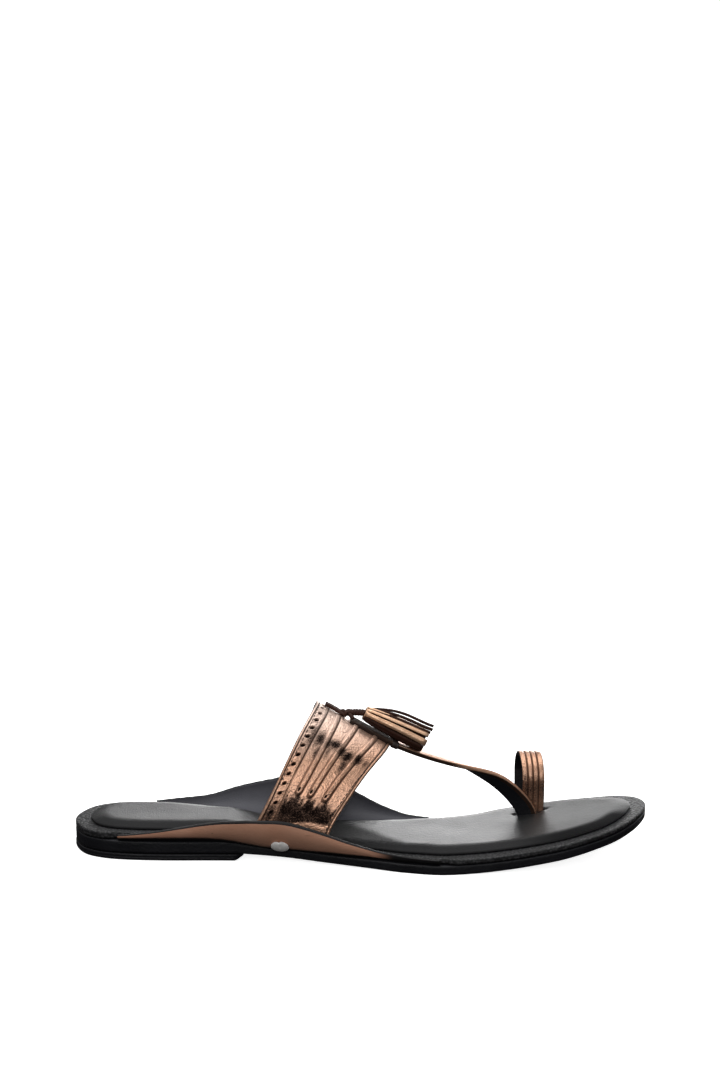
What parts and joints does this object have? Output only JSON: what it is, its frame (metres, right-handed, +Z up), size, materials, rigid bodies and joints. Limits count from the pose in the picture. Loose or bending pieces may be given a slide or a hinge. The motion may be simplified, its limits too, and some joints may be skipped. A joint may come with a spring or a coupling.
{
  "type": "kolhapuri sandal",
  "caption": "Right-foot toe-loop sandal: padded leather sole with flared side wings, pleated bronze instep band, twisted T-strap, toe loop and a leather tassel.",
  "frame": {"origin": "the middle of the heel's contact patch, on the ground", "axes": "+X from heel to toe, -Y the outer side of the right foot, +Y the inner side, +Z up"},
  "size_m": [0.2559, 0.087, 0.0674],
  "materials": {
    "black_sole_leather": "dyed and burnished black leather edge, slightly rough",
    "grained_rim_leather": "dark grey grained leather board",
    "grey_footbed_leather": "dark grey satin leather over a thin pad",
    "bronze_foil_leather": "bronze foil-coated leather, worn dark in the grain, dark lining inside",
    "dark_thong_leather": "dark brown waxed thong",
    "rivet_metal": "silver-white domed rivet cap"
  },
  "bodies": {
    "root": {"heel_lift": "black_sole_leather", "outsole": "black_sole_leather", "midsole": "grained_rim_leather", "footbed": "grey_footbed_leather", "wing_lateral": "bronze_foil_leather", "wing_medial": "bronze_foil_leather", "upper": "bronze_foil_leather", "toe_loop": "bronze_foil_leather", "rivet_lateral": "rivet_metal", "rivet_medial": "rivet_metal", "tassel": "bronze_foil_leather", "tassel_lace": "dark_thong_leather"}
  },
  "joints": []
}
